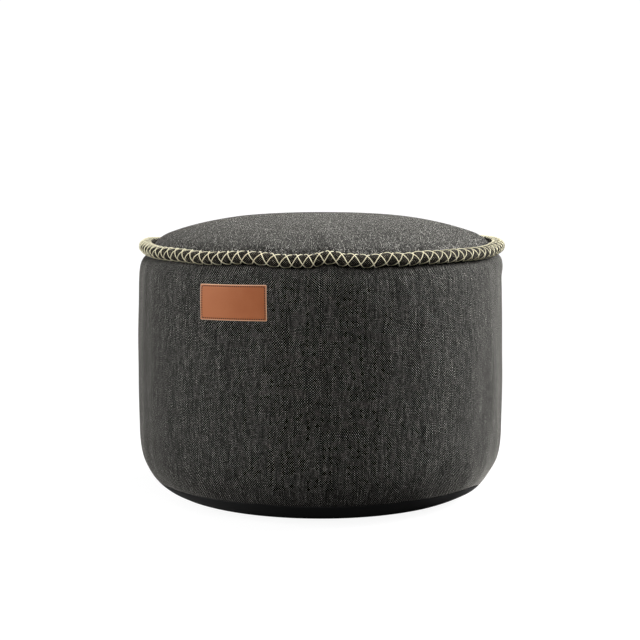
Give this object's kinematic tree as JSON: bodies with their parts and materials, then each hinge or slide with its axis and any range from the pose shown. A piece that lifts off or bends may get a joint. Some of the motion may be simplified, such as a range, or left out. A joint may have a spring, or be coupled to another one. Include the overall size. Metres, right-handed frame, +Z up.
{
  "type": "bean bag footstool",
  "caption": "Round bead-filled footstool of grey woven cloth with a crowned top, a yarn-laced rolled rim, a black base and a plain leather patch.",
  "frame": {"origin": "centre of the flat foot, on the surface that the footstool stands on", "axes": "+Z up through the middle of the crown, -Y towards the front with the leather patch left of it"},
  "size_m": [0.5068, 0.5026, 0.391],
  "materials": {
    "side_cloth": "matt plain weave of charcoal and paler grey threads",
    "top_cloth": "matt plain weave of charcoal and paler grey threads",
    "welt_cloth": "matt plain weave, rolled",
    "yarn": "matt twisted natural yarn",
    "base_cloth": "smooth black coated cloth with a faint sheen",
    "leather": "tan leather, satin, fine grain"
  },
  "bodies": {
    "root": {"drum": "side_cloth", "top_panel": "top_cloth", "rim_welt": "welt_cloth", "lacing_yarn_1": "yarn", "lacing_yarn_2": "yarn", "lacing_yarn_3": "yarn", "base_panel": "base_cloth", "leather_patch": "leather"}
  },
  "joints": []
}
